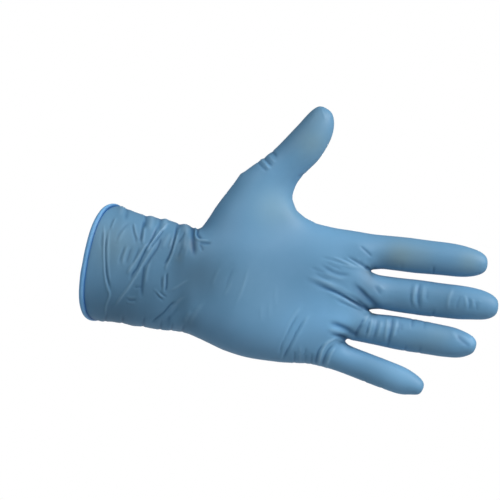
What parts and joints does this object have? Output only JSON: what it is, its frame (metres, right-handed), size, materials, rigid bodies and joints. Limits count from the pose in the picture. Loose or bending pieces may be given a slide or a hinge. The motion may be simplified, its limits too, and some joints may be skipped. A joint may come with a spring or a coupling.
{
  "type": "chemical-resistant glove",
  "caption": "Thin dipped glove in the shape of a worn left hand, palm forward, with a long loose cuff and a rolled rim.",
  "frame": {"origin": "middle of the opening at the cuff's rim, where the hand goes in", "axes": "+X from the cuff towards the fingertips, +Z towards the thumb, and the palm faces -Y"},
  "size_m": [0.2476, 0.0589, 0.1718],
  "materials": {
    "nitrile_film": "thin satin film, light blue, with soft folds",
    "rolled_nitrile": "satin rolled edge, a clearer blue than the film"
  },
  "bodies": {
    "root": {"glove_film": "nitrile_film", "cuff_bead": "rolled_nitrile"}
  },
  "joints": []
}
